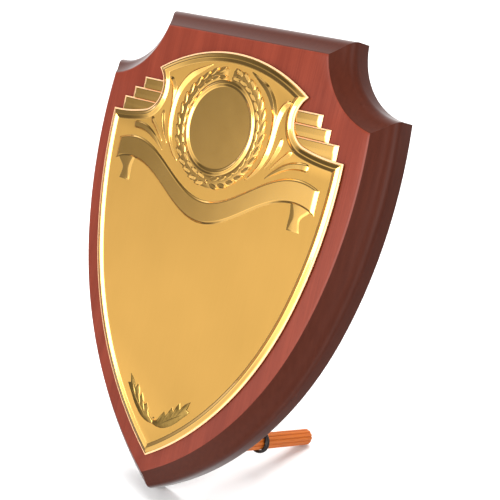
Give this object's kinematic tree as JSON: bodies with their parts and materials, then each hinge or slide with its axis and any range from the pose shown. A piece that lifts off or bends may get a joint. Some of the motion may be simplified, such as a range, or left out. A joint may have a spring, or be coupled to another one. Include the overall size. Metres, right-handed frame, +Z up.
{
  "type": "heraldic shield plaque",
  "caption": "Moulded wooden heraldic shield with an embossed gold-coloured metal plate, blank ribbon and wreathed medallion, leaning back on fluted dowel feet",
  "frame": {"origin": "On the level surface that the plaque stands on, under the middle of its outer box", "axes": "+Z up, the plate faces -Y and leans back about 19.5 degrees towards +Y, +X is the plate's right seen from the front"},
  "size_m": [0.1776, 0.0916, 0.2097],
  "materials": {
    "stained_wood": "red-brown stain under a satin varnish",
    "gold_metal": "satin field with polished relief",
    "beech": "bare fluted beech",
    "black_rubber": "smooth black rubber"
  },
  "bodies": {
    "root": {"shield_board": "stained_wood", "shield_plate": "gold_metal", "dowel_foot_left": "beech", "dowel_foot_right": "beech", "rubber_ring_left": "black_rubber", "rubber_ring_right": "black_rubber"}
  },
  "joints": []
}
